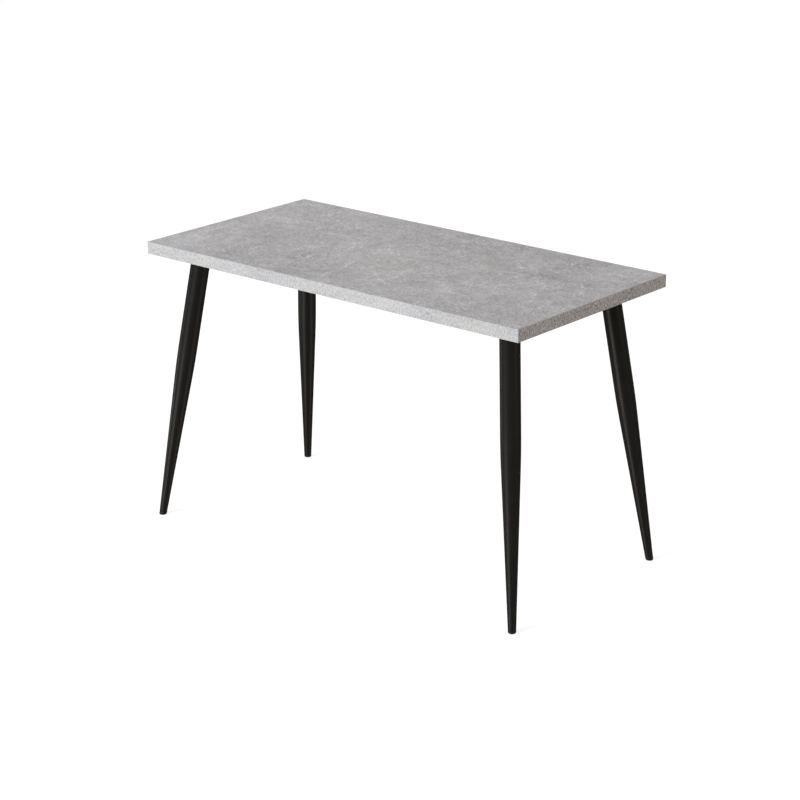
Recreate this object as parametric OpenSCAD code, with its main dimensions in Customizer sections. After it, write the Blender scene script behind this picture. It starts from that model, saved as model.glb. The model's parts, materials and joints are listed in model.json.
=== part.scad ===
// Extendable dining table with four splayed, tapered steel legs.
// The top is a hollow slab: a deck board on two rims and a centre rail. Behind each end face a
// leaf lies inside the slab's thickness and pulls out on two ball-bearing runners.
// Frame: origin on the floor under the middle of the table, +X to the right along its length,
// +Y towards the back, +Z up. Millimetres.

/* [Table top] */
// Length of the closed table, left to right
top_l = 1200; // [1160:10:1400]
// Depth of the table, front to back
top_w = 600; // [580:10:900]
// Height of the table top above the floor
table_h = 757; // [720:1:780]
// Thickness of the slab that the edges show
top_t = 32; // [32:1:36]
// Thickness of the deck board with its laminate
deck_t = 12; // [10:1:12]
// Thickness of the laminate sheets
laminate_t = 0.8; // [0.5:0.1:1.2]
// Thickness of the edge bands
band_t = 1; // [0.5:0.1:2]
// Width of the rims under the long edges
rim_w = 26; // [22:1:34]
// Width of the rail under the middle
rail_w = 70; // [60:5:90]

/* [Leaves] */
// Distance that each leaf pulls out
leaf_travel = 400; // [300:10:400]
// Thickness of a leaf with its laminate
leaf_t = 18; // [16:1:18]
// Depth of the strip that closes the end face
front_strip_w = 26; // [24:1:34]
// Gap left all round the strip in the closed end face
reveal = 0.3; // [0.3:0.1:1]
// Length of the finger groove under the strip
groove_l = 130; // [90:10:200]

/* [Runners] */
// Clear width between a rim and a leaf for a runner
runner_gap = 10; // [10:0.5:12]
// Height of the outer rail of a runner
runner_h = 17; // [16:0.5:17]
// Diameter of the bearing balls
ball_d = 2.9; // [2.7:0.1:2.9]
// Balls in each row of a cage
balls_per_row = 5; // [3:1:6]

/* [Steel frame] */
// Width of the two cross beams
beam_w = 60; // [60:5:80]
// Height of the beams and stretchers
beam_h = 15; // [15:1:20]
// Width of the two stretchers
stretcher_w = 30; // [20:5:40]
// Wall of the beams and stretchers
tube_wall = 1.5; // [1.2:0.1:2]
// Thickness of the tabs between frame and top
tab_t = 3; // [2:0.5:4]
// Thickness of the plates welded to the legs
plate_t = 4; // [3:0.5:6]

/* [Legs] */
// Diameter of a leg down to where it starts to taper
leg_d = 50; // [40:0.1:52]
// Diameter of a leg at the floor
foot_d = 19.8; // [16:0.1:30]
// Part of its length over which a leg is straight
straight_part = 0.405; // [0.3:0.01:0.6]
// From both edges of the top to a leg's axis, under the slab
leg_inset_top = 99; // [90:1:140]
// From both edges of the top to a leg's axis, at the floor
leg_inset_foot = 10; // [10:1:60]
// Wall of a leg's tube
leg_wall = 1.5; // [1.2:0.1:2]
// Height of the plastic glide below the tube
glide_h = 8; // [6:1:12]

/* [Hidden] */
$fn = 64;

SIDES = [["right", 1], ["left", -1]];
EDGES = [["front", -1], ["back", 1]];
CORNERS = [for (e = EDGES) for (s = SIDES) [str(e[0], "_", s[0]), s[1], e[1]]];

// Smallest play between pieces of one body that fit in each other
play = 0.05;
// Overhang of cutting solids past the faces they cut
cut = 1;

// Levels of the slab
z_top = table_h;
z_under = table_h - top_t;
z_deck = table_h - deck_t;
z_runner = (z_deck + z_under) / 2;

// Inside of the slab
core_x = top_l / 2 - band_t;
core_y = top_w / 2 - band_t;
rim_y = core_y - rim_w;
leaf_y = rim_y - runner_gap;
rail_x = rail_w / 2;

// A leaf, drawn on the right, and the bumpers that it rests against when closed
bumper_l = 6.7;
bumper_r = 7;
bumper_y = 150;
leaf_gap = 1;
leaf_x0 = rail_x + bumper_l + reveal;
leaf_x1 = top_l / 2 - front_strip_w;
leaf_z1 = z_deck - leaf_gap;
leaf_z0 = leaf_z1 - leaf_t;
strip_y = rim_y - reveal;
strip_z = z_deck - reveal;
groove_w = 14;
groove_h = 12;
groove_x = (leaf_x1 + core_x - band_t) / 2;

// Dowels between a leaf and its strip, with spare depth in their holes at both ends
dowel_r = 4;
dowel_l = 30;
dowel_spare = 1;
dowel_x = leaf_x1 - 18;
DOWEL_Y = [for (part = [0.34, 0.63, 0.91]) for (e = EDGES) e[1] * part * leaf_y];

// A runner, drawn at the back right. Depths run from the rim's face towards the leaf.
runner_x0 = leaf_x0 + 12;
runner_x1 = leaf_x1 - 2;
runner_wall = 1.2;
flange_depth = runner_gap - 3;
race = 0.05;
inner_h = runner_h - 2 * (runner_wall + ball_d + 2 * race);
inner_x0 = runner_x0 + 2;

// The bent stops at the rails' ends, which the cage meets at both ends of its travel
stop_t = 1.2;
stop_gap = 0.3;
outer_stop_depth = 2.7;
outer_stop_h = 10;
inner_stop_gap = 1.6;

// The cage, and the balls in two rows above and below it
cage_wall = 0.8;
cage_web = 1.8;
cage_depth = 5.3;
cage_h = 12.4;
cage_x0 = inner_x0 + stop_t + stop_gap + leaf_travel / 2;
cage_x1 = runner_x1 - stop_t - stop_gap - leaf_travel / 2;
ball_end = 8;
ball_y = rim_y - 4.6;
ball_dz = (inner_h + ball_d) / 2 + race;
ball_pitch = (cage_x1 - cage_x0 - 2 * ball_end) / (balls_per_row - 1);
BALL_X = [for (i = [0 : balls_per_row - 1]) cage_x0 + ball_end + i * ball_pitch];

// Flat-headed runner screws, four to a rail
runner_screw_r = 1.5;
runner_screw_head_r = 2.6;
runner_screw_l = 15;
screw_end = 34;
screw_pitch = (runner_x1 - runner_x0 - 2 * screw_end) / 3;
OUTER_SCREW_X = [for (i = [0 : 3]) runner_x0 + screw_end + i * screw_pitch];
INNER_SCREW_X = [for (x = OUTER_SCREW_X) x - 10];

// Steel frame under the slab
z_beam1 = z_under - tab_t;
z_beam0 = z_beam1 - beam_h;
z_plate = z_beam0 - plate_t;

// Slope of a leg in X and in Y, and where its axis runs
leg_slope = (leg_inset_top - leg_inset_foot) / z_under;
function leg_inset(z) = leg_inset_foot + leg_slope * z;
beam_x = top_l / 2 - leg_inset(z_beam0 - plate_t / 2);
leg_y = top_w / 2 - leg_inset(z_beam0 - plate_t / 2);
beam_l = 2 * (rim_y - 27);
cap_t = 2;
cap_plug = 7;

// Tabs at the beams' ends, and pads in the middle of the stretchers
tab_y0 = leg_y + 28.5;
tab_y1 = core_y - 8;
tab_screw_y = rim_y + 7;
TAB_SCREW_DX = [-22, 0, 22];
pad_l = 54;
pad_w = 50;
pad_screw_dy = 21;

// Pan-headed frame screws: their length in the board, their head and its cross recess
frame_screw_r = 2;
frame_screw_l = 14;
frame_screw_tip = 1;
frame_screw_head_r = 4;
frame_screw_head_h = 2.4;
frame_screw_dome = 1.2;
recess_arm = 2;
recess_w = 0.8;
recess_depth = 1.2;

// Leg plates and their bolts
plate_w = 56;
plate_l = 68;
bolt_dx = 20;
bolt_dy = 27;
bolt_r = 2.95;
bolt_l = 13;
bolt_head_r = 5.25;
bolt_head_h = 2.4;
bolt_dome = 1.6;
bolt_hole_r = 3.3;
socket_r = 2.3;
socket_depth = 1.4;
nut_r = 4.5;
nut_l = 10;
nut_bulge_r = 6;
nut_bulge_h = 3;

// A leg's axis leans outwards by this angle, equally to the side and to the front or back
leg_tilt = atan(leg_slope * sqrt(2));
leg_l = z_under / cos(leg_tilt);
taper_s = straight_part * leg_l;
taper_slope = (leg_d - foot_d) / 2 / (leg_l - taper_s);
// Half of the stretch over which the straight part blends into the taper
blend_s = 45;
blend_steps = 8;
// The leg's shape runs on past the floor, which cuts it off level
past_floor = 20;
LEG_S = concat(
    [0],
    [for (i = [0 : blend_steps]) taper_s + blend_s * (2 * i / blend_steps - 1)],
    [leg_l + past_floor]
);

// Radius of a leg at the distance s below the slab along its axis
function leg_r(s) =
    s <= taper_s - blend_s ? leg_d / 2 :
    s >= taper_s + blend_s ? leg_d / 2 - taper_slope * (s - taper_s) :
    leg_d / 2 - taper_slope * pow(s - taper_s + blend_s, 2) / (4 * blend_s);

// Glide: the play of its stem in the tube, the stem's length in it, and the chamfer at the floor
stem_play = 0.3;
stem_l = 22;
glide_chamfer = 1.3;
glide_chamfer_h = 1.6;

// Places what is drawn on the right or at the back on its own side
module on_side(side) {
    if (side > 0) children();
    else mirror([1, 0, 0]) children();
}

module on_edge(edge) {
    if (edge > 0) children();
    else mirror([0, 1, 0]) children();
}

module on_corner(corner) {
    on_side(corner[1]) on_edge(corner[2]) children();
}

// A block from its lowest to its highest corner
module block(low, high) {
    translate(low) cube(high - low);
}

// Extrudes an outline drawn in Y and Z along X
module along_x(x0, x1) {
    translate([x0, 0, 0]) rotate([90, 0, 90]) linear_extrude(x1 - x0) children();
}

// C-section with its web on y = 0 and its flanges towards -Y, centred on z = 0
module c_section(depth, height, wall) {
    difference() {
        translate([-depth, -height / 2]) square([depth, height]);
        translate([-depth - cut, -height / 2 + wall])
            square([depth - wall + cut, height - 2 * wall]);
    }
}

// Round solid along +Y or along +X
module rod_y(r, l) {
    rotate([-90, 0, 0]) cylinder(h = l, r = r, $fn = 32);
}

module rod_x(r, l) {
    rotate([0, 90, 0]) cylinder(h = l, r = r, $fn = 32);
}

// ---------------------------------------------------------------- slab

module top_laminate() {
    color([0.67, 0.66, 0.66])
        block([-core_x, -core_y, z_top - laminate_t], [core_x, core_y, z_top]);
}

module deck() {
    color([0.76, 0.66, 0.50])
        block([-core_x, -core_y, z_deck], [core_x, core_y, z_top - laminate_t]);
}

// The rim along the back edge, drilled for the frame's and the runners' screws
module rim(edge) {
    color([0.76, 0.66, 0.50]) on_edge(edge) difference() {
        block([-core_x, rim_y, z_under], [core_x, core_y, z_deck]);
        for (side = [-1, 1]) {
            for (dx = TAB_SCREW_DX)
                translate([side * beam_x + dx, tab_screw_y, z_under - cut])
                    cylinder(h = frame_screw_l + cut, r = frame_screw_r + play, $fn = 32);
            for (x = OUTER_SCREW_X)
                translate([side * x, rim_y - cut, z_runner])
                    rod_y(runner_screw_r + play, runner_screw_l + cut);
        }
    }
}

module centre_rail() {
    color([0.76, 0.66, 0.50]) difference() {
        block([-rail_x, -rim_y, z_under], [rail_x, rim_y, z_deck]);
        for (edge = [-1, 1]) for (dy = [-pad_screw_dy, pad_screw_dy])
            translate([0, edge * leg_y + dy, z_under - cut])
                cylinder(h = frame_screw_l + cut, r = frame_screw_r + play, $fn = 32);
    }
}

module long_edge_band(edge) {
    color([0.80, 0.80, 0.81]) on_edge(edge)
        block([-top_l / 2, core_y, z_under], [top_l / 2, top_w / 2, z_top]);
}

// The band of an end face runs over the deck's end and down the two rim ends
module end_edge_band(side) {
    color([0.66, 0.65, 0.64]) on_side(side) difference() {
        block([core_x, -core_y, z_under], [top_l / 2, core_y, z_top]);
        block([core_x - cut, -rim_y, z_under - cut], [top_l / 2 + cut, rim_y, z_deck]);
    }
}

module leaf_bumpers() {
    color([0.10, 0.10, 0.10]) for (side = [-1, 1]) for (edge = [-1, 1])
        on_side(side) translate([rail_x, edge * bumper_y, z_runner]) rod_x(bumper_r, bumper_l);
}

// ---------------------------------------------------------------- steel frame

module cross_beam(side) {
    color([0.09, 0.09, 0.09]) on_side(side) difference() {
        block([beam_x - beam_w / 2, -beam_l / 2, z_beam0], [beam_x + beam_w / 2, beam_l / 2, z_beam1]);
        block([beam_x - beam_w / 2 + tube_wall, -beam_l / 2 - cut, z_beam0 + tube_wall],
            [beam_x + beam_w / 2 - tube_wall, beam_l / 2 + cut, z_beam1 - tube_wall]);
        at_leg_bolts() translate([0, 0, z_beam0 - cut]) cylinder(h = tube_wall + 2 * cut, r = nut_r + play);
    }
}

module stretcher(edge) {
    reach = beam_x - beam_w / 2;
    color([0.09, 0.09, 0.09]) on_edge(edge) difference() {
        block([-reach, leg_y - stretcher_w / 2, z_beam0], [reach, leg_y + stretcher_w / 2, z_beam1]);
        block([-reach - cut, leg_y - stretcher_w / 2 + tube_wall, z_beam0 + tube_wall],
            [reach + cut, leg_y + stretcher_w / 2 - tube_wall, z_beam1 - tube_wall]);
    }
}

// Flat tabs from the beams' ends to the rims, and pads from the stretchers to the centre rail
module frame_tabs() {
    color([0.09, 0.09, 0.09]) for (edge = [-1, 1]) on_edge(edge) {
        for (side = [-1, 1]) on_side(side) difference() {
            block([beam_x - beam_w / 2, tab_y0, z_beam1], [beam_x + beam_w / 2, tab_y1, z_under]);
            for (dx = TAB_SCREW_DX) translate([beam_x + dx, tab_screw_y, z_beam1 - cut])
                cylinder(h = tab_t + 2 * cut, r = frame_screw_r + play, $fn = 32);
        }
        difference() {
            block([-pad_w / 2, leg_y - pad_l / 2, z_beam1], [pad_w / 2, leg_y + pad_l / 2, z_under]);
            for (dy = [-pad_screw_dy, pad_screw_dy]) translate([0, leg_y + dy, z_beam1 - cut])
                cylinder(h = tab_t + 2 * cut, r = frame_screw_r + play, $fn = 32);
        }
    }
}

// Plastic plugs in the open ends of the cross beams
module beam_end_caps() {
    plug_w = beam_w - 2 * tube_wall - 2 * play;
    plug_h = beam_h - 2 * tube_wall - 2 * play;
    color([0.06, 0.06, 0.06]) for (side = [-1, 1]) for (edge = [-1, 1])
        on_side(side) on_edge(edge) translate([beam_x, beam_l / 2, (z_beam0 + z_beam1) / 2]) union() {
            block([-beam_w / 2, 0, -beam_h / 2], [beam_w / 2, cap_t, beam_h / 2]);
            block([-plug_w / 2, -cap_plug, -plug_h / 2], [plug_w / 2, cut, plug_h / 2]);
        }
}

// Pan-headed screw, drawn with its head's seat on z = 0 and its point up
module frame_screw() {
    cylinder(h = tab_t + frame_screw_l - frame_screw_tip, r = frame_screw_r, $fn = 32);
    translate([0, 0, -frame_screw_head_h]) difference() {
        cylinder(
            h = frame_screw_head_h, r1 = frame_screw_head_r - frame_screw_dome,
            r2 = frame_screw_head_r, $fn = 32
        );
        for (turn = [0, 90]) rotate([0, 0, turn])
            block([-recess_arm, -recess_w / 2, -cut], [recess_arm, recess_w / 2, recess_depth]);
    }
}

module frame_screws() {
    color([0.75, 0.75, 0.77]) for (edge = [-1, 1]) on_edge(edge) {
        for (side = [-1, 1]) for (dx = TAB_SCREW_DX)
            translate([side * beam_x + dx, tab_screw_y, z_beam1]) frame_screw();
        for (dy = [-pad_screw_dy, pad_screw_dy]) translate([0, leg_y + dy, z_beam1]) frame_screw();
    }
}

// ---------------------------------------------------------------- legs

// Moves a shape from the axis z to a leg's axis, z = 0 at the slab's underside and -z along the leg
module on_leg_axis() {
    translate([top_l / 2 - leg_inset_top, top_w / 2 - leg_inset_top, z_under])
        rotate([0, 0, 45]) rotate([0, -leg_tilt, 0]) children();
}

// The tapered shape of a leg, made smaller all round by the wall
module leg_shape(wall) {
    on_leg_axis() rotate_extrude() polygon(concat(
        [[0, 0]],
        [for (s = LEG_S) [leg_r(s) - wall, -s]],
        [[0, -leg_l - past_floor]]
    ));
}

// A horizontal slice through everything at the back right corner
module slice(z0, z1) {
    block([top_l / 4, top_w / 8, z0], [top_l, top_w, z1]);
}

module leg(corner) {
    color([0.10, 0.10, 0.10]) on_corner(corner) difference() {
        intersection() {
            leg_shape(0);
            slice(glide_h, z_plate);
        }
        leg_shape(leg_wall);
    }
}

// Positions of one leg's four bolts
module at_leg_bolts() {
    for (edge = [-1, 1]) for (dx = [-bolt_dx, bolt_dx]) for (dy = [-bolt_dy, bolt_dy])
        translate([beam_x + dx, edge * leg_y + dy, 0]) children();
}

module leg_plate(corner) {
    color([0.10, 0.10, 0.10]) on_corner(corner) difference() {
        block([beam_x - plate_w / 2, leg_y - plate_l / 2, z_plate],
            [beam_x + plate_w / 2, leg_y + plate_l / 2, z_beam0]);
        at_leg_bolts() translate([0, 0, z_plate - cut])
            cylinder(h = plate_t + 2 * cut, r = bolt_hole_r);
    }
}

// Button-headed bolt with a hexagon socket, its head under the plate
module leg_bolts() {
    color([0.12, 0.12, 0.13]) for (side = [-1, 1]) on_side(side) at_leg_bolts()
        translate([0, 0, z_plate]) {
            cylinder(h = bolt_l, r = bolt_r);
            translate([0, 0, -bolt_head_h]) difference() {
                cylinder(h = bolt_head_h, r1 = bolt_head_r - bolt_dome, r2 = bolt_head_r);
                translate([0, 0, -cut]) cylinder(h = socket_depth + cut, r = socket_r, $fn = 6);
            }
        }
}

// Nuts riveted into the lower wall of the cross beams
module rivet_nuts() {
    color([0.78, 0.76, 0.66]) for (side = [-1, 1]) on_side(side) at_leg_bolts()
        translate([0, 0, z_beam0]) difference() {
            union() {
                cylinder(h = nut_l, r = nut_r);
                translate([0, 0, tube_wall]) cylinder(h = nut_bulge_h, r = nut_bulge_r);
            }
            translate([0, 0, -cut]) cylinder(h = nut_l + 2 * cut, r = bolt_r + play);
        }
}

// Plastic glide: a stem inside the tube, a collar that ends the taper and a flat bottom
module foot_glide(corner) {
    stem_r = leg_r(leg_l - glide_h / cos(leg_tilt)) - leg_wall - stem_play;
    color([0.05, 0.05, 0.05]) on_corner(corner) union() {
        intersection() {
            leg_shape(0);
            slice(glide_chamfer_h - 2 * play, glide_h);
        }
        intersection() {
            on_leg_axis() translate([0, 0, -leg_l]) cylinder(h = glide_h + 2 * stem_l, r = stem_r);
            slice(glide_h / 2, glide_h + stem_l);
        }
        translate([top_l / 2 - leg_inset_foot, top_w / 2 - leg_inset_foot, 0])
            cylinder(h = glide_chamfer_h, r1 = foot_d / 2 - glide_chamfer, r2 = foot_d / 2 - 2 * play);
    }
}

// ---------------------------------------------------------------- leaves

module leaf_panel(side) {
    color([0.76, 0.66, 0.50]) on_side(side) difference() {
        block([leaf_x0, -leaf_y + band_t, leaf_z0], [leaf_x1, leaf_y - band_t, leaf_z1 - laminate_t]);
        leaf_dowel_holes();
        inner_screw_holes();
    }
}

// One sheet covers the leaf and steps up onto the strip at its outer end
module leaf_laminate(side) {
    color([0.67, 0.66, 0.66]) on_side(side) union() {
        block([leaf_x0, -leaf_y + band_t, leaf_z1 - laminate_t], [leaf_x1, leaf_y - band_t, leaf_z1]);
        block([leaf_x1, -strip_y + band_t, strip_z - laminate_t], [core_x, strip_y - band_t, strip_z]);
    }
}

module leaf_side_bands(side) {
    color([0.80, 0.80, 0.81]) on_side(side) difference() {
        for (edge = [-1, 1]) on_edge(edge)
            block([leaf_x0, leaf_y - band_t, leaf_z0], [leaf_x1, leaf_y, leaf_z1]);
        inner_screw_holes();
    }
}

// The strip that closes the end face, with a finger groove in its underside
module leaf_front(side) {
    groove_y = groove_l / 2 - groove_w / 2;
    color([0.76, 0.66, 0.50]) on_side(side) difference() {
        block([leaf_x1, -strip_y + band_t, z_under], [core_x, strip_y - band_t, strip_z - laminate_t]);
        block([groove_x - groove_w / 2, -groove_y, z_under - cut],
            [groove_x + groove_w / 2, groove_y, z_under + groove_h]);
        for (edge = [-1, 1]) translate([groove_x, edge * groove_y, z_under - cut])
            cylinder(h = groove_h + cut, r = groove_w / 2);
        leaf_dowel_holes();
    }
}

// The band runs round the strip's front and both its ends
module leaf_front_band(side) {
    inside_y = strip_y - band_t;
    color([0.66, 0.65, 0.64]) on_side(side) difference() {
        block([leaf_x1, -strip_y, z_under], [top_l / 2, strip_y, strip_z]);
        block([leaf_x1 - cut, -inside_y, z_under - cut], [core_x, inside_y, strip_z + cut]);
    }
}

module at_dowels() {
    for (y = DOWEL_Y) translate([dowel_x, y, z_runner]) children();
}

module leaf_dowel_holes() {
    at_dowels() translate([-dowel_spare, 0, 0])
        rod_x(dowel_r + play, dowel_l + 2 * dowel_spare);
}

module leaf_dowels(side) {
    color([0.80, 0.64, 0.42]) on_side(side) at_dowels() rod_x(dowel_r, dowel_l);
}

// ---------------------------------------------------------------- runners

// Flat-headed screw with its head flush on y = 0 and its point towards +Y
module runner_screw(grow) {
    head_r = runner_screw_head_r + grow;
    shank_r = runner_screw_r + grow;
    rotate([-90, 0, 0]) union() {
        cylinder(h = runner_wall - 2 * play, r1 = head_r, r2 = shank_r, $fn = 32);
        cylinder(h = runner_screw_l, r = shank_r, $fn = 32);
    }
}

// The web of the outer rail is on the rim, the web of the inner rail on the leaf
module at_outer_screws() {
    for (x = OUTER_SCREW_X) translate([x, rim_y - runner_wall, z_runner]) children();
}

module at_inner_screws() {
    for (x = INNER_SCREW_X) translate([x, leaf_y + runner_wall, z_runner]) mirror([0, 1, 0]) children();
}

module inner_screw_holes() {
    for (edge = [-1, 1]) on_edge(edge) at_inner_screws() runner_screw(play);
}

// Outer rail, closed to the balls by a bent stop at its outer end
module outer_runner(corner) {
    color([0.72, 0.73, 0.75]) on_corner(corner) difference() {
        union() {
            along_x(runner_x0, runner_x1) translate([rim_y, z_runner])
                c_section(flange_depth, runner_h, runner_wall);
            block([runner_x1 - stop_t, rim_y - outer_stop_depth, z_runner - outer_stop_h / 2],
                [runner_x1, rim_y - runner_wall / 2, z_runner + outer_stop_h / 2]);
        }
        at_outer_screws() runner_screw(play);
    }
}

module outer_runner_screws() {
    color([0.75, 0.75, 0.77]) for (corner = CORNERS) on_corner(corner)
        at_outer_screws() runner_screw(0);
}

// Inner rail, folded across at its inner end to push the cage out
module inner_runner(corner) {
    color([0.72, 0.73, 0.75]) on_corner(corner) difference() {
        union() {
            along_x(inner_x0, runner_x1) translate([leaf_y, z_runner]) mirror([1, 0])
                c_section(flange_depth, inner_h, runner_wall);
            block([inner_x0, leaf_y + runner_wall / 2, z_runner - inner_h / 2],
                [inner_x0 + stop_t, rim_y - inner_stop_gap, z_runner + inner_h / 2]);
        }
        at_inner_screws() runner_screw(play);
    }
}

module inner_runner_screws(side) {
    color([0.75, 0.75, 0.77]) on_side(side) for (edge = [-1, 1]) on_edge(edge)
        at_inner_screws() runner_screw(0);
}

module at_balls() {
    for (x = BALL_X) for (dz = [-ball_dz, ball_dz]) translate([x, ball_y, z_runner + dz]) children();
}

module ball_cages(side) {
    color([0.55, 0.55, 0.56]) on_side(side) for (edge = [-1, 1]) on_edge(edge) difference() {
        along_x(cage_x0, cage_x1) translate([rim_y - cage_web, z_runner])
            c_section(cage_depth, cage_h, cage_wall);
        at_balls() translate([0, 0, -cut]) cylinder(h = 2 * cut, r = ball_d / 2 + 2 * play, $fn = 32);
    }
}

module balls(side) {
    color([0.85, 0.85, 0.87]) on_side(side) for (edge = [-1, 1]) on_edge(edge)
        at_balls() sphere(d = ball_d, $fn = 32);
}

// ---------------------------------------------------------------- nodes

top_laminate();
deck();
centre_rail();
frame_tabs();
beam_end_caps();
frame_screws();
leg_bolts();
rivet_nuts();
outer_runner_screws();
leaf_bumpers();

for (e = EDGES) {
    rim(e[1]);
    long_edge_band(e[1]);
    stretcher(e[1]);
}

for (s = SIDES) {
    end_edge_band(s[1]);
    cross_beam(s[1]);
    leaf_panel(s[1]);
    leaf_laminate(s[1]);
    leaf_side_bands(s[1]);
    leaf_front(s[1]);
    leaf_front_band(s[1]);
    leaf_dowels(s[1]);
    inner_runner_screws(s[1]);
    ball_cages(s[1]);
    balls(s[1]);
}

for (c = CORNERS) {
    leg(c);
    leg_plate(c);
    foot_glide(c);
    outer_runner(c);
    inner_runner(c);
}
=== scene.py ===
"""Looks of an extendable dining table: a concrete-look top on black, tapered steel legs.

Lengths are metres in the row frame: origin on the floor under the middle of the table, +X along
its length, -Y towards the front, +Z up.
"""
import json
import math

import bmesh
import bpy
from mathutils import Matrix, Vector


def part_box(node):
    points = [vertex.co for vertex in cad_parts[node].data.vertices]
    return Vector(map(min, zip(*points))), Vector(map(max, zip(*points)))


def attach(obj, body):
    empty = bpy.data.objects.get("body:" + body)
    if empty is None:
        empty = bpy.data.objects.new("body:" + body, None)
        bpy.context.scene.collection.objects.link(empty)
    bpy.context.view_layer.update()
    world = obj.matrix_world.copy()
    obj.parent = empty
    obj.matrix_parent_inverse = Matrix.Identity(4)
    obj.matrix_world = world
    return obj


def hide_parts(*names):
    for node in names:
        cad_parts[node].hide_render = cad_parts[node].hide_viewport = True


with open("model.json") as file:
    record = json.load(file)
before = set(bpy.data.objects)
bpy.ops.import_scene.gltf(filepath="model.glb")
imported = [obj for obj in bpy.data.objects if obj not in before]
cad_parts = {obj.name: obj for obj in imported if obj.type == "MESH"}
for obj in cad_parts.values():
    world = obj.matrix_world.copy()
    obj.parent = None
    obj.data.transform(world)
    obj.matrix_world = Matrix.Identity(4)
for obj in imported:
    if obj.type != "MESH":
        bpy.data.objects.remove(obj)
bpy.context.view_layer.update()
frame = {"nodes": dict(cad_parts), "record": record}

NODES = frame["nodes"]
CORNERS = ("front_right", "front_left", "back_right", "back_left")
MM = 0.001
WHITE = (1, 1, 1, 1)


# ---------------------------------------------------------------- shader helpers

class Shader:
    """A material's node tree, with short calls for the nodes that the materials share."""

    def __init__(self, name, **surface):
        self.material = bpy.data.materials.new(name)
        self.material.use_nodes = True
        self.tree = self.material.node_tree
        self.surface = self.tree.nodes["Principled BSDF"]
        coordinates = self.tree.nodes.new("ShaderNodeTexCoord")
        self.place = coordinates.outputs["Object"]
        self.normal = coordinates.outputs["Normal"]
        for socket, value in surface.items():
            self.surface.inputs[socket.replace("_", " ")].default_value = value

    def add(self, kind, **settings):
        """A new node of a kind, with its settings."""
        node = self.tree.nodes.new(kind)
        for key, value in settings.items():
            setattr(node, key, value)
        return node

    def put(self, value, socket):
        """Links an output to a socket, or sets the socket to a plain value."""
        if isinstance(value, bpy.types.NodeSocket):
            self.tree.links.new(value, socket)
        else:
            socket.default_value = value

    def math(self, operation, a, b=0.0):
        node = self.add("ShaderNodeMath", operation=operation)
        self.put(a, node.inputs[0])
        self.put(b, node.inputs[1])
        return node.outputs[0]

    def total(self, *terms):
        result = terms[0]
        for term in terms[1:]:
            result = self.math("ADD", result, term)
        return result

    def times(self, *factors):
        result = factors[0]
        for factor in factors[1:]:
            result = self.math("MULTIPLY", result, factor)
        return result

    def span(self, value, low, high, to_low=0.0, to_high=1.0):
        """value, eased from low..high to to_low..to_high and held beyond both."""
        node = self.add("ShaderNodeMapRange", interpolation_type="SMOOTHSTEP")
        for socket, number in zip(node.inputs, (value, low, high, to_low, to_high)):
            self.put(number, socket)
        return node.outputs["Result"]

    def facing(self, axis):
        """How squarely the surface looks along X, Y or Z, either way: 0 to 1."""
        split = self.add("ShaderNodeSeparateXYZ")
        self.put(self.normal, split.inputs["Vector"])
        return self.math("ABSOLUTE", split.outputs[axis])

    def stretch(self, scale, turn=(0, 0, 0), shift=(0, 0, 0)):
        """The place, turned by degrees, shifted and then multiplied by scale."""
        node = self.add("ShaderNodeMapping", vector_type="POINT")
        self.put(self.place, node.inputs["Vector"])
        node.inputs["Location"].default_value = shift
        node.inputs["Rotation"].default_value = [math.radians(angle) for angle in turn]
        scaled = self.add("ShaderNodeVectorMath", operation="MULTIPLY")
        self.put(node.outputs["Vector"], scaled.inputs[0])
        scaled.inputs[1].default_value = scale
        return scaled.outputs["Vector"]

    def sheared(self, level, shift_per_metre):
        """The place, moved more the further it is from a level, so that sheets differ in pattern."""
        split = self.add("ShaderNodeSeparateXYZ")
        self.put(self.place, split.inputs["Vector"])
        push = self.add("ShaderNodeVectorMath", operation="SCALE")
        push.inputs[0].default_value = shift_per_metre
        self.put(self.math("SUBTRACT", split.outputs["Z"], level), push.inputs["Scale"])
        moved = self.add("ShaderNodeVectorMath", operation="ADD")
        self.put(self.place, moved.inputs[0])
        self.put(push.outputs["Vector"], moved.inputs[1])
        return moved.outputs["Vector"]

    def warp(self, amount, scale, at=None):
        """The place, pushed about by a noise, by about amount metres either way."""
        noise = self.add("ShaderNodeTexNoise", normalize=False)
        self.put(at or self.place, noise.inputs["Vector"])
        noise.inputs["Scale"].default_value = scale
        noise.inputs["Detail"].default_value = 3.0
        push = self.add("ShaderNodeVectorMath", operation="MULTIPLY_ADD")
        self.put(noise.outputs["Color"], push.inputs[0])
        push.inputs[1].default_value = (amount,) * 3
        self.put(at or self.place, push.inputs[2])
        return push.outputs["Vector"]

    def noise(self, scale, detail=2.0, rough=0.5, at=None):
        """Noise from 0 to 1 around 0.5, with scale features to the metre."""
        node = self.add("ShaderNodeTexNoise")
        self.put(at or self.place, node.inputs["Vector"])
        node.inputs["Scale"].default_value = scale
        node.inputs["Detail"].default_value = detail
        node.inputs["Roughness"].default_value = rough
        return node.outputs["Fac"]

    def cells(self, scale, output="Color", at=None, **settings):
        """Cells like chips or crystals, with scale of them to the metre."""
        node = self.add("ShaderNodeTexVoronoi", **settings)
        self.put(at or self.place, node.inputs["Vector"])
        node.inputs["Scale"].default_value = scale
        return node.outputs[output]

    def centred(self, value, gain):
        """A noise of 0..1 as a swing of gain about zero."""
        return self.times(self.math("SUBTRACT", value, 0.5), gain)

    def flecks(self, scale, detail, start, full, gain):
        """Specks where a noise goes from start to full: pale ones for a gain above zero."""
        return self.times(self.span(self.noise(scale, detail), start, full), gain)

    def mix(self, factor, a, b):
        """From colour a to colour b; each is three numbers or a socket."""
        node = self.add("ShaderNodeMix", data_type="RGBA")
        self.put(factor, node.inputs["Factor"])
        for socket, colour in (("A", a), ("B", b)):
            self.put((*colour, 1) if isinstance(colour, tuple) else colour, node.inputs[socket])
        return node.outputs["Result"]

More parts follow.
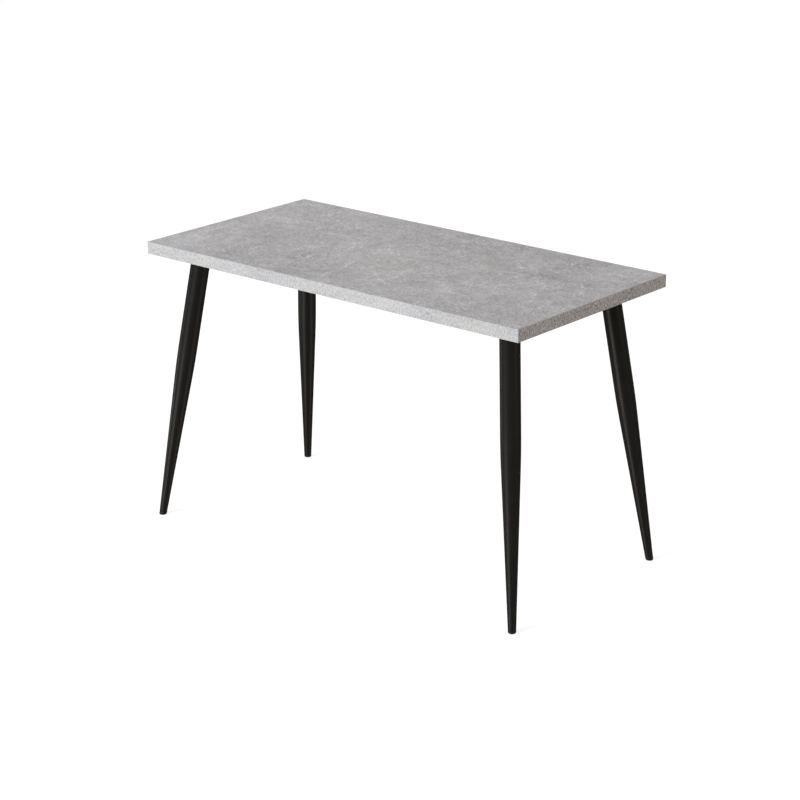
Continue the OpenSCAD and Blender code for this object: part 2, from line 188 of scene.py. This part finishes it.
    def shade(self, colour, value):
        """A colour brightened or darkened by 1 + value."""
        node = self.add("ShaderNodeVectorMath", operation="SCALE")
        self.put(colour, node.inputs[0])
        self.put(self.math("ADD", value, 1.0), node.inputs["Scale"])
        return node.outputs["Vector"]

    def finish(self, colour, roughness, height, depth, strength):
        """Sets colour, roughness (None leaves the surface's number) and a bump of depth metres."""
        self.put(colour, self.surface.inputs["Base Color"])
        if roughness is not None:
            self.put(roughness, self.surface.inputs["Roughness"])
        bump = self.add("ShaderNodeBump")
        bump.inputs["Strength"].default_value = strength
        bump.inputs["Distance"].default_value = depth
        self.put(height, bump.inputs["Height"])
        self.put(bump.outputs["Normal"], self.surface.inputs["Normal"])
        return self.material


# ---------------------------------------------------------------- materials

# The two colours that each material mixes
PRINT_TINTS = (0.367, 0.354, 0.359), (0.378, 0.366, 0.350)
EDGE_TINTS = (0.349, 0.349, 0.361), (0.363, 0.361, 0.361)
COAT_TINTS = (0.0050, 0.0049, 0.0047), (0.0085, 0.0083, 0.0080)
PLASTIC_TINTS = (0.010, 0.010, 0.010), (0.022, 0.021, 0.020)
RUBBER_TINTS = (0.014, 0.014, 0.014), (0.045, 0.044, 0.042)
CHIP_TINTS = (0.33, 0.20, 0.10), (0.62, 0.45, 0.27)
PAPER_TINTS = (0.56, 0.55, 0.53), (0.62, 0.61, 0.59)
BEECH_TINTS = (0.50, 0.30, 0.15), (0.70, 0.47, 0.26)

# Noises of the print, coarse to fine: features to the metre, detail, roughness, how far they
# swing the brightness, and whether they follow the print's warp
PRINT_NOISES = (
    (3.2, 3.0, 0.55, 0.40, True),
    (15.0, 6.0, 0.62, 0.56, True),
    (38.0, 5.0, 0.62, 0.44, False),
    (170.0, 4.0, 0.66, 1.55, False),
    (620.0, 2.0, 0.60, 0.60, False),
)

# Fibres that the trowel leaves: features to the metre along and across, the noise from which
# patches of them begin, and their gain; each kind lies in four directions, in degrees
FIBRES = ((14, 190, 0.48, 0.26), (28, 290, 0.48, 0.44), (75, 640, 0.46, 0.42))
FIBRE_TURNS = (38, -52, 80, 8)

# How the print shifts, in metres for each metre below the top, so that a leaf shows another part
PRINT_SHEAR = (25, 9, 40)

# Where the print is warmer: a broad band from start to end with a half width
STAIN = ((0.06, 0.10), (0.20, -0.10), 0.13)

# Hairlines, trowel marks and clouds of the print: start and end in metres along and across the
# top, half width, and how much lighter they are
STROKES = (
    ((0.000, 0.150), (0.055, 0.134), 0.0024, 0.41),
    ((-0.415, 0.275), (-0.385, 0.255), 0.0024, 0.35),
    ((-0.540, 0.275), (-0.505, 0.260), 0.0048, 0.22),
    ((-0.200, 0.055), (-0.160, 0.005), 0.0030, 0.35),
    ((-0.160, 0.010), (-0.145, -0.035), 0.0036, 0.35),
    ((0.360, 0.240), (0.380, 0.210), 0.0024, 0.35),
    ((0.090, 0.270), (0.135, 0.245), 0.0054, 0.27),
    ((0.280, 0.128), (0.306, 0.110), 0.0027, 0.46),
    ((0.330, 0.155), (0.400, 0.135), 0.0024, 0.33),
    ((0.270, 0.066), (0.352, 0.076), 0.0021, 0.38),
    ((0.384, 0.066), (0.398, 0.040), 0.0021, 0.41),
    ((0.430, 0.032), (0.456, -0.022), 0.0024, 0.41),
    ((0.460, -0.040), (0.476, -0.085), 0.0021, 0.38),
    ((0.490, 0.090), (0.535, 0.060), 0.0027, 0.43),
    ((-0.080, 0.050), (-0.030, 0.000), 0.0024, 0.35),
    ((0.004, -0.030), (0.042, -0.058), 0.0036, 0.35),
    ((-0.060, -0.095), (-0.050, -0.180), 0.0030, 0.35),
    ((-0.048, -0.205), (-0.034, -0.262), 0.0045, 0.46),
    ((0.045, -0.150), (0.068, -0.172), 0.0024, 0.41),
    ((0.070, -0.178), (0.146, -0.215), 0.0030, 0.38),
    ((-0.350, -0.090), (-0.338, -0.225), 0.0027, 0.25),
    ((-0.190, -0.130), (-0.170, -0.178), 0.0030, 0.27),
    ((-0.240, -0.282), (-0.198, -0.264), 0.0027, 0.33),
    ((0.254, -0.110), (0.266, -0.152), 0.0027, 0.27),
    ((0.300, 0.096), (0.470, 0.094), 0.0120, -0.22),
    ((-0.392, -0.050), (-0.372, -0.085), 0.0120, -0.20),
    ((0.085, 0.022), (0.155, 0.024), 0.0060, -0.24),
    ((-0.245, -0.110), (-0.175, -0.190), 0.0180, -0.13),
    ((0.150, -0.270), (0.195, -0.235), 0.0090, -0.16),
    ((0.170, -0.065), (0.270, -0.085), 0.0240, -0.10),
    ((-0.365, 0.190), (-0.370, 0.110), 0.0140, -0.12),
    ((-0.460, 0.230), (-0.420, 0.100), 0.1300, 0.10),
    ((-0.450, -0.250), (0.000, -0.250), 0.0900, -0.13),
)


def stroke_mask(shader, place, start, end, half_width):
    """1 in the middle of the line from start to end, falling to 0 at twice its half width."""
    axis = Vector(end) - Vector(start)
    middle = (Vector(end) + Vector(start)) / 2
    angle = math.atan2(axis.y, axis.x)
    along = Vector((math.cos(angle), math.sin(angle)))
    across = Vector((-along.y, along.x))
    parts = []
    for direction, reach in ((along, axis.length / 2 + half_width), (across, half_width * 2)):
        dot = shader.add("ShaderNodeVectorMath", operation="DOT_PRODUCT")
        shader.put(place, dot.inputs[0])
        dot.inputs[1].default_value = (direction.x / reach, direction.y / reach, 0)
        offset = shader.math("SUBTRACT", dot.outputs["Value"], middle.dot(direction) / reach)
        parts.append(shader.times(offset, offset))
    return shader.span(shader.total(*parts), 0.0, 1.0, 1.0, 0.0)


def concrete_pattern(shader):
    """Terms of a trowelled concrete's brightness, about zero, and the warped place they follow."""
    warped = shader.warp(0.035, 5.0)
    swing = [shader.centred(shader.noise(scale, detail, rough, warped if follows else None), gain)
             for scale, detail, rough, gain, follows in PRINT_NOISES]
    contour = shader.math("ABSOLUTE", shader.centred(shader.noise(6.5, 6.0, 0.62, warped), 1.0))
    veins = shader.times(shader.span(contour, 0.0, 0.012, 1.0, 0.0),
                         shader.span(shader.noise(4.1, 2.0, 0.5), 0.50, 0.66))
    swing += [
        shader.times(veins, 0.12),
        shader.flecks(175.0, 1.0, 0.70, 0.78, 0.32),
        shader.flecks(120.0, 2.0, 0.30, 0.22, -0.20),
    ]
    for length, width, cover, gain in FIBRES:
        for turn in FIBRE_TURNS:
            shift = turn * 0.1
            streaks = shader.stretch((length, width, 40), (0, 0, turn), (shift, 0, 0))
            fibres = shader.span(shader.noise(1.0, 2.0, 0.55, streaks), 0.62, 0.72)
            moved = shader.stretch((1, 1, 1), shift=(shift, 5, 0))
            patches = shader.span(shader.noise(7.0, 2.0, 0.5, moved), cover, cover + 0.14)
            swing.append(shader.times(fibres, patches, gain))
    return swing, warped


def concrete_laminate():
    """Matt melamine sheet with a print of trowelled concrete."""
    shader = Shader("concrete_laminate", Specular_IOR_Level=0.35)
    shader.place = shader.sheared(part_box("top_laminate")[1].z, PRINT_SHEAR)
    swing, warped = concrete_pattern(shader)
    near = shader.warp(0.006, 30.0)
    broken = shader.span(shader.noise(110.0, 4.0, 0.65), 0.38, 0.56)
    for start, end, half_width, strength in STROKES:
        mask = stroke_mask(shader, near, start, end, half_width)
        swing.append(shader.times(mask, broken, strength))
    pattern = shader.total(*swing)
    stain = shader.times(shader.span(shader.noise(6.0, 4.0, 0.6, warped), 0.40, 0.60),
                         stroke_mask(shader, warped, *STAIN))
    tint = shader.mix(stain, *PRINT_TINTS)
    fine = shader.noise(900.0, 3.0, 0.6)
    rough = shader.total(shader.centred(shader.noise(15.0, 5.0, 0.6, warped), 0.12), 0.52)
    return shader.finish(shader.shade(tint, pattern), rough, fine, depth=0.12 * MM, strength=0.35)


def concrete_edge():
    """The same print on thin plastic bands: upright grain, stronger on the bands of the end faces."""
    shader = Shader("concrete_edge_band", Specular_IOR_Level=0.35)
    grain = shader.noise(1.0, 3.0, 0.6, shader.stretch((270, 270, 135)))
    grit = shader.noise(540.0, 3.0, 0.65)
    clouds = shader.noise(9.0, 3.0, 0.55)
    flecks = shader.total(shader.flecks(210.0, 1.0, 0.66, 0.78, 0.22),
                          shader.flecks(150.0, 2.0, 0.32, 0.24, -0.18))
    strength = shader.span(shader.facing("X"), 0.4, 0.6, 0.70, 1.38)
    spots = shader.centred(shader.noise(34.0, 3.0, 0.6), 0.22)
    fine = shader.total(shader.centred(grain, 2.35), shader.centred(grit, 1.2), flecks, spots)
    pattern = shader.total(shader.times(fine, strength), shader.centred(clouds, 0.26))
    tint = shader.mix(shader.span(shader.noise(8.0, 3.0, 0.6), 0.38, 0.62), *EDGE_TINTS)
    rough = shader.total(shader.centred(grain, 0.15), 0.50)
    return shader.finish(shader.shade(tint, pattern), rough, grit, depth=0.12 * MM, strength=0.4)


def powder_coat():
    """Satin black powder coat with its fine orange peel."""
    shader = Shader("black_powder_coat", Specular_IOR_Level=0.40)
    peel = shader.noise(750.0, 2.0, 0.55)
    pores = shader.noise(2600.0, 2.0, 0.5)
    height = shader.total(peel, shader.times(pores, 0.35))
    wear = shader.noise(22.0, 5.0, 0.62)
    colour = shader.mix(wear, *COAT_TINTS)
    rough = shader.total(shader.centred(wear, 0.10), shader.centred(peel, 0.10), 0.36)
    return shader.finish(colour, rough, height, depth=0.08 * MM, strength=0.5)


def black_plastic():
    """Moulded black plastic with a fine spark-eroded texture."""
    shader = Shader("black_plastic", Specular_IOR_Level=0.4)
    spark = shader.noise(1700.0, 3.0, 0.65)
    scuff = shader.span(shader.noise(120.0, 6.0, 0.7), 0.58, 0.72)
    colour = shader.mix(scuff, *PLASTIC_TINTS)
    rough = shader.total(shader.times(scuff, 0.15), 0.5)
    return shader.finish(colour, rough, spark, depth=0.06 * MM, strength=0.6)


def rubber():
    """Black rubber with a little dust."""
    shader = Shader("rubber", Specular_IOR_Level=0.3)
    dust = shader.span(shader.noise(300.0, 5.0, 0.7), 0.5, 0.75)
    colour = shader.mix(dust, *RUBBER_TINTS)
    rough = shader.total(shader.times(dust, 0.15), 0.72)
    return shader.finish(colour, rough, dust, depth=0.05 * MM, strength=0.5)


def particleboard():
    """Flattened chips on the sawn edges, which face along Y, and pale backing paper elsewhere."""
    shader = Shader("particleboard", Specular_IOR_Level=0.25)
    flat = shader.warp(0.0015, 260.0, shader.stretch((1, 1, 2.6)))
    chips = shader.cells(330.0, "Color", flat, feature="F1")
    gaps = shader.span(shader.cells(330.0, "Distance", flat, feature="DISTANCE_TO_EDGE"), 0.0, 0.12)
    chip_value = shader.add("ShaderNodeSeparateColor")
    shader.put(chips, chip_value.inputs["Color"])
    wood = shader.mix(chip_value.outputs["Red"], *CHIP_TINTS)
    wood = shader.shade(wood, shader.total(shader.centred(shader.noise(1500.0, 2.0), 0.25),
                                           shader.times(gaps, 0.45), -0.42))
    fibre = shader.noise(1.0, 4.0, 0.65, shader.stretch((60, 900, 60)))
    paper = shader.shade(shader.mix(shader.noise(30.0, 4.0), *PAPER_TINTS), shader.centred(fibre, 0.10))
    sawn = shader.span(shader.facing("Y"), 0.45, 0.55)
    rough = shader.span(sawn, 0.0, 1.0, 0.55, 0.85)
    pits = shader.times(gaps, sawn)
    return shader.finish(shader.mix(sawn, paper, wood), rough, pits, depth=0.3 * MM, strength=0.6)


def beech():
    """Turned beech dowels, with the grain along X."""
    shader = Shader("beech", Specular_IOR_Level=0.3, Roughness=0.6)
    grain = shader.noise(1.0, 5.0, 0.65, shader.stretch((70, 1500, 1500)))
    rays = shader.span(shader.noise(1.0, 2.0, 0.5, shader.stretch((500, 2600, 2600))), 0.6, 0.72)
    colour = shader.shade(shader.mix(grain, *BEECH_TINTS), shader.times(rays, -0.3))
    return shader.finish(colour, None, grain, depth=0.1 * MM, strength=0.5)


def metal(name, dark, light, roughness, along=(12, 1500, 1500), spangle=0.0):
    """Bare or plated metal with lines along X unless along differs; spangle adds zinc crystals."""
    shader = Shader(name, Metallic=1.0)
    lines = shader.noise(1.0, 4.0, 0.7, shader.stretch(along))
    clouds = shader.noise(60.0, 5.0, 0.65)
    colour = shader.mix(shader.total(shader.times(lines, 0.5), shader.times(clouds, 0.5)), dark, light)
    if spangle:
        crystals = shader.add("ShaderNodeSeparateColor")
        shader.put(shader.cells(220.0), crystals.inputs["Color"])
        colour = shader.shade(colour, shader.centred(crystals.outputs["Green"], spangle))
    rough = shader.total(shader.centred(clouds, 0.16), shader.centred(lines, 0.14), roughness)
    return shader.finish(colour, rough, lines, depth=0.03 * MM, strength=0.35)


MATERIALS = {
    "concrete_laminate": concrete_laminate(),
    "concrete_edge_band": concrete_edge(),
    "particleboard": particleboard(),
    "beech": beech(),
    "rubber": rubber(),
    "black_plastic": black_plastic(),
    "black_powder_coat": powder_coat(),
    "black_bolt_steel": metal("black_bolt_steel", (0.018, 0.018, 0.020), (0.045, 0.045, 0.048),
                              roughness=0.36, along=(900, 900, 900)),
    "zinc_steel": metal("zinc_steel", (0.50, 0.51, 0.53), (0.78, 0.79, 0.80),
                        roughness=0.30, along=(700, 700, 700)),
    "runner_steel": metal("runner_steel", (0.42, 0.43, 0.45), (0.66, 0.67, 0.69),
                          roughness=0.34, spangle=0.16),
    "cage_steel": metal("cage_steel", (0.27, 0.27, 0.28), (0.44, 0.44, 0.45), roughness=0.38),
    "ball_steel": metal("ball_steel", (0.70, 0.70, 0.72), (0.86, 0.86, 0.88),
                        roughness=0.10, along=(400, 400, 400)),
}

for subpart in frame["record"]["subparts"]:
    slots = NODES[subpart["node"]].data.materials
    slots.clear()
    slots.append(MATERIALS[subpart["material_slot"]])


# ---------------------------------------------------------------- rounded arrises of the CAD pieces

# Widths of the rounding, and the angle in degrees from which an edge counts as sharp
BAND_ARRIS = 0.15 * MM
BEAM_ARRIS = 0.9 * MM
PLATE_ARRIS = 0.5 * MM
SHARP_ANGLE = 40
# CAD points nearer than this are joined first
SAME_POINT = 0.001 * MM


def round_edges(node, width, segments=2):
    """Rounds the sharp edges of a CAD piece without touching its mesh."""
    piece = NODES[node]
    weld = piece.modifiers.new("joined", "WELD")
    weld.merge_threshold = SAME_POINT
    bevel = piece.modifiers.new("rounded", "BEVEL")
    bevel.width = width
    bevel.segments = segments
    bevel.limit_method = "ANGLE"
    bevel.angle_limit = math.radians(SHARP_ANGLE)
    bevel.harden_normals = True


for node in NODES:
    if node.endswith("edge_band") or node.endswith("front_band"):
        round_edges(node, BAND_ARRIS)
    elif "cross_beam" in node or "stretcher" in node:
        round_edges(node, BEAM_ARRIS, segments=3)
    elif node.endswith("leg_plate") or node == "frame_tabs":
        round_edges(node, PLATE_ARRIS)


# ---------------------------------------------------------------- legs

LEG_WALL = 1.5 * MM
# The share of the leg's length above the bend, and half the length that the bend takes
STRAIGHT_PART = 0.405
BLEND = 45 * MM
# How far the tube's cut edges are rounded
RIM = 0.4 * MM

# How closely the mesh follows the leg: sides, and rings on each stretch and in the bore
SIDES_OF_LEG = 96
TAPER_RINGS, BEND_RINGS, STRAIGHT_RINGS, BORE_RINGS = 12, 16, 8, 14
# Where those stretches start and end: the taper above the foot and below the bend, the bend below
# and above its middle, the straight part above it, and the bore below the leg's top
TAPER_START, TAPER_END = 12 * MM, 50 * MM
BEND_START, BEND_END = 40 * MM, 60 * MM
STRAIGHT_START = 75 * MM
BORE_START = 10 * MM
# Rounds that bring a ring's points onto its level, and how near to a level a CAD point counts
LEVEL_ROUNDS = 6
LEVEL_TOLERANCE = 0.01 * MM

# The foot glide from the floor up: height, and how far it lies inside the taper, in mm
GLIDE_PROFILE = ((0.0, 2.4), (0.35, 1.2), (1.0, 0.5), (1.8, 0.1), (2.6, 0.0))
# Its collar's upper edge: the rounding's height and inset, and the gap to the tube
COLLAR_EDGE = 0.6 * MM
COLLAR_INSET = 0.35 * MM
TUBE_GAP = 0.15 * MM
# Its stem in the tube: play at the bottom, how much thinner it gets, and its length
STEM_PLAY = 0.3 * MM
STEM_TAPER = 0.8 * MM
STEM_LENGTH = 20 * MM

# The weld between leg and plate: its centre line below and outside the leg's end, and its bead
WELD_DROP = 1.0 * MM
WELD_OUTSET = 0.3 * MM
BEAD_RADIUS = 1.7 * MM
BEAD_RIPPLE = 0.10
BEAD_PITCH = 2.6 * MM
BEAD_SIDES = 10
BEAD_STEPS = 4


class LegAxis:
    """The axis and the radii of one leg, read from the two ends of its CAD tube."""

    def __init__(self, corner):
        low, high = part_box(corner + "_leg")
        self.z_low, self.z_high = low.z, high.z
        rings = [self.ring(corner + "_leg", z) for z in (low.z, high.z)]
        middles = [self.middle(ring) for ring in rings]
        self.slope = (middles[1] - middles[0]) / (middles[1].z - middles[0].z)
        self.floor_point = middles[0] - self.slope * middles[0].z
        self.per_z = self.slope.length
        # Along the axis, from the underside of the slab to the floor
        self.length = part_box("front_rim")[0].z * self.per_z
        side = self.slope.cross(Vector((0, 0, 1))).normalized()
        low_radius, self.leg_radius = [
            max((point - middle).dot(side) for point in ring) for ring, middle in zip(rings, middles)]
        self.bend = STRAIGHT_PART * self.length
        taper = self.length - self.z_low * self.per_z - self.bend
        self.fall = (self.leg_radius - low_radius) / taper

    @staticmethod
    def ring(node, z):
        """The points of a CAD node's mesh at one level."""
        points = [vertex.co for vertex in NODES[node].data.vertices]
        return [point for point in points if abs(point.z - z) < LEVEL_TOLERANCE]

    @staticmethod
    def middle(points):
        """The middle of the box around some points."""
        return Vector([(min(p[i] for p in points) + max(p[i] for p in points)) / 2 for i in range(3)])

    def at(self, z):
        """The point of the axis at one level; z = 0 is the floor."""
        return self.floor_point + self.slope * z

    def radius(self, z):
        """Radius of the tube where its axis passes z: straight, a soft bend, then the taper."""
        past_bend = self.length - z * self.per_z - self.bend
        if past_bend <= -BLEND:
            return self.leg_radius
        if past_bend >= BLEND:
            return self.leg_radius - self.fall * past_bend
        return self.leg_radius - self.fall * (past_bend + BLEND) ** 2 / (4 * BLEND)


def level_ring(axis, z, inset=0.0):
    """The outline that the tilted tube has at one level, or a surface inset inside the tube's."""
    unit = axis.slope.normalized()
    side = unit.cross(Vector((0, 0, 1))).normalized()
    front = side.cross(unit).normalized()
    points = []
    for step in range(SIDES_OF_LEG):
        angle = 2 * math.pi * step / SIDES_OF_LEG
        out = side * math.cos(angle) + front * math.sin(angle)
        z_axis = z
        for _ in range(LEVEL_ROUNDS):
            z_axis = z - out.z * (axis.radius(z_axis) - inset)
        points.append(axis.at(z_axis) + out * (axis.radius(z_axis) - inset))
    return points


def skin(bm, rings, closed=False):
    """Joins rings of points into a tube, and the last to the first if closed."""
    rows = [[bm.verts.new(p) for p in ring] for ring in rings]
    pairs = list(zip(rows, rows[1:])) + ([(rows[-1], rows[0])] if closed else [])
    for lower, upper in pairs:
        for i in range(len(lower)):
            j = (i + 1) % len(lower)
            bm.faces.new((lower[i], lower[j], upper[j], upper[i]))
    return rows


def new_piece(name, bm, slot, smooth_angle=35):
    """Makes a mesh into a piece of the fixed body, smooth apart from edges over smooth_angle."""
    bmesh.ops.recalc_face_normals(bm, faces=bm.faces)
    mesh = bpy.data.meshes.new(name)
    bm.to_mesh(mesh)
    bm.free()
    mesh.materials.append(MATERIALS[slot])
    mesh.shade_smooth()
    mesh.set_sharp_from_angle(angle=math.radians(smooth_angle))
    piece = bpy.data.objects.new(name, mesh)
    bpy.context.scene.collection.objects.link(piece)
    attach(piece, "table")
    return piece


def spaced(low, high, count):
    """Evenly spaced levels from low to high, both included."""
    return [low + (high - low) * i / (count - 1) for i in range(count)]


def leg_tube(corner, axis):
    """The hollow leg, outside and inside, with softly rounded rims at both cuts."""
    low, high = axis.z_low, axis.z_high
    bend = (1 - STRAIGHT_PART) * high
    outside = ([low + RIM]
               + spaced(low + TAPER_START, bend - TAPER_END, TAPER_RINGS)
               + spaced(bend - BEND_START, bend + BEND_END, BEND_RINGS)
               + spaced(bend + STRAIGHT_START, high - RIM, STRAIGHT_RINGS))
    rings = [level_ring(axis, low, RIM)]
    rings += [level_ring(axis, z) for z in outside]
    rings += [level_ring(axis, high, RIM), level_ring(axis, high, LEG_WALL)]
    rings += [level_ring(axis, z, LEG_WALL) for z in spaced(high - BORE_START, low, BORE_RINGS)]
    bm = bmesh.new()
    skin(bm, rings, closed=True)
    piece = new_piece(corner + "_leg_tube", bm, "black_powder_coat")
    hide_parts(corner + "_leg")


def foot_glide(corner, axis):
    """Plastic glide: collar on the taper, chamfered flat bottom, and its stem inside the tube."""
    top = axis.z_low
    stem = LEG_WALL + STEM_PLAY
    levels = [(height * MM, inset * MM) for height, inset in GLIDE_PROFILE]
    levels += [(top - COLLAR_EDGE, 0.0), (top - TUBE_GAP, COLLAR_INSET), (top - TUBE_GAP, stem),
               (top + STEM_LENGTH, stem + STEM_TAPER)]
    rings = [level_ring(axis, z, inset) for z, inset in levels]
    bm = bmesh.new()
    rows = skin(bm, rings)
    bm.faces.new(reversed(rows[0]))
    bm.faces.new(rows[-1])
    piece = new_piece(corner + "_glide_moulding", bm, "black_plastic")
    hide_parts(corner + "_foot_glide")


def bead(bm, path):
    """A weld bead laid along a closed path of points, with the ripples of its pool."""
    count = len(path)
    rings = []
    travelled = 0.0
    for i, point in enumerate(path):
        ahead = path[(i + 1) % count] - path[i - 1]
        travelled += (point - path[i - 1]).length if i else 0.0
        size = BEAD_RADIUS * (1 + BEAD_RIPPLE * math.sin(2 * math.pi * travelled / BEAD_PITCH))
        forward = ahead.normalized()
        side = forward.cross(Vector((0, 0, 1))).normalized()
        up = side.cross(forward)
        rings.append([point + (side * math.cos(a) + up * math.sin(a)) * size
                      for a in (2 * math.pi * k / BEAD_SIDES for k in range(BEAD_SIDES))])
    skin(bm, rings, closed=True)


def leg_weld(corner, axis):
    """The fillet weld around the top of a leg, under its plate."""
    outline = level_ring(axis, axis.z_high - WELD_DROP, -WELD_OUTSET)
    path = []
    for i, point in enumerate(outline):
        after = outline[(i + 1) % len(outline)]
        path += [point.lerp(after, step / BEAD_STEPS) for step in range(BEAD_STEPS)]
    bm = bmesh.new()
    bead(bm, path)
    new_piece(corner + "_leg_weld", bm, "black_powder_coat", smooth_angle=60)


for corner in CORNERS:
    leg_axis = LegAxis(corner)
    leg_tube(corner, leg_axis)
    foot_glide(corner, leg_axis)
    leg_weld(corner, leg_axis)


# ---------------------------------------------------------------- camera, light and floor

# Where the camera looks from, as a distance and angles about a point near the table's middle
CAMERA_TARGET = Vector((0.0486, -0.0583, 0.4039))
CAMERA_AZIMUTH = 40.0
CAMERA_ELEVATION = 18.945
CAMERA_DISTANCE = 5.694
CAMERA_LENS = 101.05
SENSOR_WIDTH = 36.0
FAR_CLIP = 200.0

# The spot above the floor's middle that the softboxes point at, and their light
LIT_SPOT = Vector((0, 0, 0.6))
KEY_SIZE = (4.8, 3.3)
DAYLIGHT = (0.925, 0.975, 1.0)
NEUTRAL = (1.0, 1.0, 1.0)
AMBER = (1.0, 0.86, 0.48)
CREAM = (1.0, 0.90, 0.82)
WARM = (1.0, 0.84, 0.70)

# Name, azimuth, elevation, distance, size, power, colour, and whether it shows in reflections:
# most of the key's power doesn't, because it would glare from behind
SOFTBOXES = (
    ("key", -14, 19, 12.0, KEY_SIZE, 1530, DAYLIGHT, False),
    ("key_gloss", -14, 19, 12.0, KEY_SIZE, 230, DAYLIGHT, True),
    ("back_fill", -120, 35, 3.0, (2.0, 1.4), 7, NEUTRAL, True),
    ("warm_fill", 100, 12, 4.0, (1.6, 2.2), 7.5, AMBER, True),
    ("front_bounce", -12, -27, 6.0, (2.6, 3.4), 60, CREAM, True),
    ("left_bounce", -66, -15, 3.0, (0.5, 0.6), 2.4, NEUTRAL, True),
    ("right_bounce", 110, -37, 5.0, (3.2, 1.8), 14, WARM, True),
)

# The studio air's colour by height, 0 straight down to 1 straight up, and how much of it shows in
# reflections, where the softboxes give the gloss
LOW_AIR = (0.35, (0.50, 0.43, 0.38, 1))
HIGH_AIR = (0.62, (0.70, 0.69, 0.69, 1))
REFLECTED_AIR = 0.20
# What the camera sees beyond the floor is white of this strength
WALL_STRENGTH = 1.1

# The floor's half side, its paint and the glow that makes it run out to white
FLOOR_REACH = 40.0
FLOOR_GREY = (0.30, 0.30, 0.30, 1)
FLOOR_GLOW = 0.77


def direction(azimuth, elevation):
    """Unit vector towards a camera or lamp: azimuth 0 is the front, +90 the right."""
    a, e = math.radians(azimuth), math.radians(elevation)
    return Vector((math.sin(a) * math.cos(e), -math.cos(a) * math.cos(e), math.sin(e)))


def add_camera():
    """The camera that sees the table as the photograph does."""
    data = bpy.data.cameras.new("camera")
    data.lens = CAMERA_LENS
    data.sensor_width = SENSOR_WIDTH
    data.clip_end = FAR_CLIP
    camera = bpy.data.objects.new("camera", data)
    back = direction(CAMERA_AZIMUTH, CAMERA_ELEVATION)
    camera.location = CAMERA_TARGET + back * CAMERA_DISTANCE
    camera.rotation_euler = back.to_track_quat("Z", "Y").to_euler()
    bpy.context.scene.collection.objects.link(camera)
    bpy.context.scene.camera = camera


def add_softbox(name, azimuth, elevation, distance, size, power, colour, mirrored):
    """A rectangular lamp that looks at the lit spot, itself unseen by the camera."""
    data = bpy.data.lights.new(name, "AREA")
    data.shape = "RECTANGLE"
    data.size, data.size_y = size
    data.energy = power
    data.color = colour
    lamp = bpy.data.objects.new(name, data)
    aim = direction(azimuth, elevation)
    lamp.location = LIT_SPOT + aim * distance
    lamp.rotation_euler = aim.to_track_quat("Z", "Y").to_euler()
    lamp.visible_camera = False
    lamp.visible_glossy = mirrored
    bpy.context.scene.collection.objects.link(lamp)


def add_surroundings():
    """Pale studio air, warm from below and neutral from above; the camera itself sees white."""
    world = bpy.data.worlds.new("studio")
    world.use_nodes = True
    bpy.context.scene.world = world
    tree = world.node_tree
    background = tree.nodes["Background"]
    place = tree.nodes.new("ShaderNodeTexCoord")
    split = tree.nodes.new("ShaderNodeSeparateXYZ")
    ramp = tree.nodes.new("ShaderNodeValToRGB")
    lift = tree.nodes.new("ShaderNodeMapRange")
    lift.inputs["From Min"].default_value = -1.0
    tree.links.new(place.outputs["Generated"], split.inputs["Vector"])
    tree.links.new(split.outputs["Z"], lift.inputs["Value"])
    tree.links.new(lift.outputs["Result"], ramp.inputs["Fac"])
    tree.links.new(ramp.outputs["Color"], background.inputs["Color"])
    rays = tree.nodes.new("ShaderNodeLightPath")
    dim = tree.nodes.new("ShaderNodeMapRange")
    dim.inputs["To Min"].default_value = 1.0
    dim.inputs["To Max"].default_value = REFLECTED_AIR
    tree.links.new(rays.outputs["Is Glossy Ray"], dim.inputs["Value"])
    tree.links.new(dim.outputs["Result"], background.inputs["Strength"])
    wall = tree.nodes.new("ShaderNodeBackground")
    wall.inputs["Color"].default_value = WHITE
    wall.inputs["Strength"].default_value = WALL_STRENGTH
    shown = tree.nodes.new("ShaderNodeMixShader")
    tree.links.new(rays.outputs["Is Camera Ray"], shown.inputs["Fac"])
    tree.links.new(background.outputs["Background"], shown.inputs[1])
    tree.links.new(wall.outputs["Background"], shown.inputs[2])
    tree.links.new(shown.outputs["Shader"], tree.nodes["World Output"].inputs["Surface"])
    stops = ramp.color_ramp.elements
    stops[0].position, stops[0].color = LOW_AIR
    stops[1].position, stops[1].color = HIGH_AIR


def add_floor():
    """A plain pale floor, bright enough to run out to white in the picture."""
    bm = bmesh.new()
    corners = ((-1, -1), (1, -1), (1, 1), (-1, 1))
    bm.faces.new([bm.verts.new((x * FLOOR_REACH, y * FLOOR_REACH, 0)) for x, y in corners])
    mesh = bpy.data.meshes.new("floor")
    bm.to_mesh(mesh)
    bm.free()
    paint = Shader("floor_paint", Base_Color=FLOOR_GREY, Roughness=0.9, Specular_IOR_Level=0.1,
                   Emission_Color=WHITE, Emission_Strength=FLOOR_GLOW)
    mesh.materials.append(paint.material)
    floor = bpy.data.objects.new("floor", mesh)
    bpy.context.scene.collection.objects.link(floor)
    floor.visible_diffuse = False
    floor.visible_glossy = False
    floor.visible_shadow = False


add_camera()
add_surroundings()
add_floor()
for settings in SOFTBOXES:
    add_softbox(*settings)
bpy.context.scene.view_settings.view_transform = "Standard"
